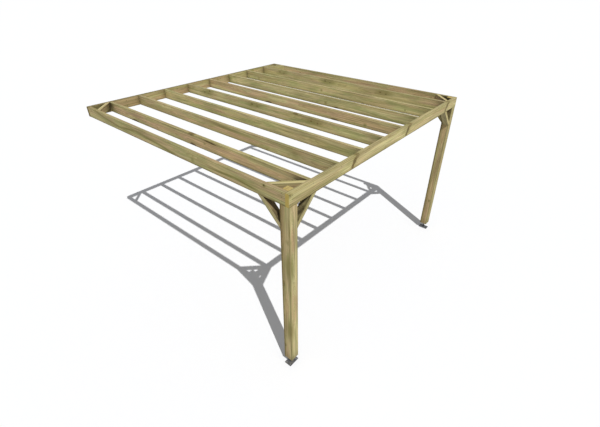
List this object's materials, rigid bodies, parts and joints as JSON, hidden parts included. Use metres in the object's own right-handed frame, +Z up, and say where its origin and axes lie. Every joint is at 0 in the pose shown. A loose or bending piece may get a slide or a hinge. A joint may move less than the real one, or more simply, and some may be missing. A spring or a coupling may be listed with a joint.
{
  "type": "wall-mounted pergola",
  "caption": "Open timber pergola for a house wall: a wall plate, side beams and a front beam hold parallel rafters, on notched posts with corner and knee braces and steel feet.",
  "frame": {"origin": "middle of the wall plate's back face, the face against the wall", "axes": "+X along the wall, +Y into the wall, +Z up; the posts are at -Y"},
  "size_m": [4.015, 3.995, 2.49],
  "materials": {
    "frame_timber": "planed, pressure-treated softwood",
    "rafter_timber": "planed, pressure-treated softwood",
    "brace_timber": "planed, pressure-treated softwood",
    "steel_plate": "dark grey coated steel",
    "steel_rod": "dark grey coated steel"
  },
  "bodies": {
    "root": {"wall_plate": "frame_timber", "front_beam": "frame_timber", "side_beam_left": "frame_timber", "side_beam_right": "frame_timber", "rafter_1": "rafter_timber", "rafter_2": "rafter_timber", "rafter_3": "rafter_timber", "rafter_4": "rafter_timber", "rafter_5": "rafter_timber", "rafter_6": "rafter_timber", "rafter_7": "rafter_timber", "rafter_8": "rafter_timber", "corner_brace_wall_left": "brace_timber", "corner_brace_wall_right": "brace_timber", "corner_brace_front_left": "brace_timber", "corner_brace_front_right": "brace_timber", "post_left": "frame_timber", "post_right": "frame_timber", "knee_brace_front_left": "brace_timber", "knee_brace_front_right": "brace_timber", "knee_brace_side_left": "brace_timber", "knee_brace_side_right": "brace_timber", "ground_plate_left": "steel_plate", "ground_plate_right": "steel_plate", "stem_left": "steel_rod", "stem_right": "steel_rod", "head_plate_left": "steel_plate", "head_plate_right": "steel_plate"}
  },
  "joints": []
}
